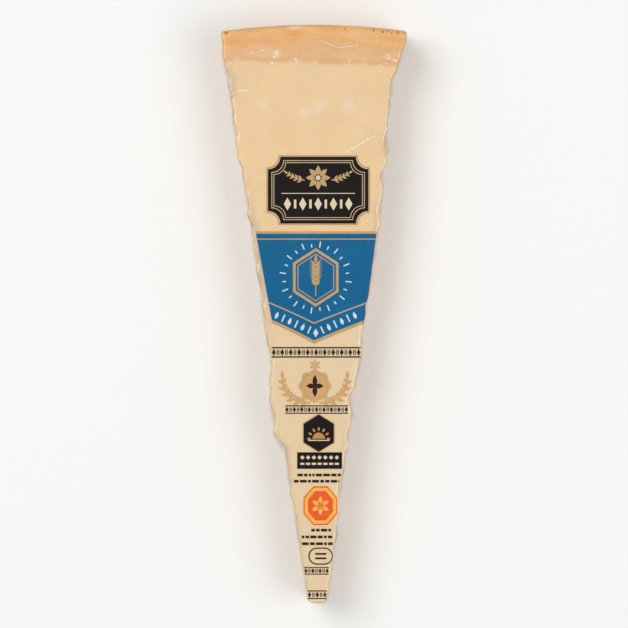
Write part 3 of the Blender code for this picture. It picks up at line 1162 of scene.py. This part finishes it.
def print_flower(inks):
    """The orange octagon near the tip, with yellow keylines round a flower."""
    x, y = 2.2, -65.0
    inks["orange"].fill(ellipse(x, y, 6.2, 7.1, 8, np.pi / 8), wraps=True)
    inks["yellow"].line(ellipse(x, y, 5.2, 6.0, 8, np.pi / 8), 1.1, closed=True)
    rosette(inks["yellow"], inks["amber"], x, y, 3.3, 6)


def print_rows(inks):
    """The dark rows: border strips in place of large lines, and fine dashes in place of small ones."""
    brown = inks["brown"]
    for y, height, start, end, count in STRIPS:
        ornament_row(brown, y, height, start, end, count)
    for number, (y, start, end) in enumerate(FINE_ROWS):
        fine_row(brown, y, 0.9, start, end, number)
    x, y, half, radius = 2.3, -82.1, 1.3, 2.7
    cap = turned(np.linspace(-0.5 * np.pi, 0.5 * np.pi, 13), radius)
    brown.line(np.concatenate([cap + [x + half, y], -cap + [x - half, y]]), 0.4, closed=True)
    for lift in (-0.75, 0.75):
        brown.fill(bar((x - 1.9, y + lift), (x + 1.9, y + lift), 0.6))


# Each ink: its layer, colour, roughness and how metallic it is
INKS = {
    "blue": (0, colour(2, 92, 135), 0.34, 0.0),
    "black": (0, colour(16, 10, 7), 0.30, 0.0),
    "tan": (0, colour(198, 156, 104), 0.40, 0.10),
    "orange": (0, colour(222, 88, 50), 0.34, 0.0),
    "brown": (1, colour(40, 24, 15), 0.36, 0.0),
    "yellow": (1, colour(240, 172, 66), 0.36, 0.0),
    "gold": (2, colour(182, 150, 104), 0.38, 0.25),
    "cream": (2, colour(212, 196, 168), 0.38, 0.0),
    "white": (2, colour(196, 208, 222), 0.38, 0.0),
    "amber": (2, colour(188, 132, 78), 0.38, 0.0),
}


def ink_finish(name, shade, roughness, metallic):
    """One ink under the gloss of the film: its colour, slightly thin in places."""
    ink = Finish(name, Roughness=roughness, Metallic=metallic, Specular_IOR_Level=0.15)
    thin = ink.noise(1.2 * MM, 3.0)
    worn = ink.noise(9 * MM, 2.0)
    paler = (*(1.2 * part + 0.002 for part in shade[:3]), 1.0)
    ink.feed("Base Color", ink.mix(thin.rise(0.4, 0.75) * 0.5 + worn.rise(0.4, 0.8) * 0.5, shade, paler))
    ink.feed("Roughness", roughness + 0.12 * worn)
    ink.relief(ink.noise(5 * MM, 2.0, (1.0, 0.5, 1.0)) * (0.05 * MM))
    return ink


def make_print():
    """Every motif, then one piece for each ink."""
    inks = {name: Ink(layer) for name, (layer, *_) in INKS.items()}
    for motif in (print_banner, print_ear, print_plaque, print_wreath, print_sun, print_flower, print_rows):
        motif(inks)
    for name, (_, *looks) in INKS.items():
        inks[name].make("print_" + name, ink_finish("ink_" + name, *looks))


# The studio

FLOOR = colour(243, 243, 242)
FRAME_HEIGHT = LENGTH / 0.9236  # how much the camera takes in at the height of the front
CAMERA_HEIGHT = 1.6
SENSOR = 36.0
SURROUNDINGS = 0.50  # how bright the white surroundings are
LAMP_SIZE = 1.1
LAMPS = (("left_lamp", (-0.85, 0.55, 1.75), 16.7), ("right_lamp", (1.0, -0.3, 1.7), 11.2))  # in watts


def make_floor():
    """A wide plain floor just under the wedge."""
    reach, down = 2.5, -0.1 * MM
    corners = [(x * reach, y * reach, down) for x, y in ((-1, -1), (1, -1), (1, 1), (-1, 1))]
    mesh = bpy.data.meshes.new("floor")
    mesh.from_pydata(corners, [], [(0, 1, 2, 3)])
    mesh.materials.append(Finish("pale_floor", Base_Color=FLOOR, Roughness=0.9).material)
    put("floor", mesh)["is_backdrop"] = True


def make_lamp(name, place, power):
    """A square soft lamp that points at the wedge."""
    light = bpy.data.lights.new(name, "AREA")
    light.size, light.energy = LAMP_SIZE, power
    lamp = put(name, light)
    lamp.location = place
    lamp.rotation_euler = Vector(place).to_track_quat("Z", "Y").to_euler()


def make_studio():
    """The even white surroundings, two soft lamps and the camera that looks straight down."""
    scene = bpy.context.scene
    scene.world = bpy.data.worlds.new("studio")
    scene.world.use_nodes = True
    surroundings = scene.world.node_tree.nodes["Background"].inputs
    surroundings["Color"].default_value = (1.0, 1.0, 1.0, 1.0)
    surroundings["Strength"].default_value = SURROUNDINGS
    for name, place, power in LAMPS:
        make_lamp(name, place, power)
    camera = put("camera", bpy.data.cameras.new("camera"))
    camera.location = (0.0, 0.0, CAMERA_HEIGHT)
    camera.data.sensor_width = SENSOR
    camera.data.lens = SENSOR * (CAMERA_HEIGHT - THICKNESS) / FRAME_HEIGHT
    scene.camera = camera
    scene.view_settings.view_transform = "Standard"


make_studio()
make_floor()
make_cheese(cheese_finish())
make_pin_marks(pin_finish())
make_film(film_finish())
make_creases(crease_glint_finish())
make_print()
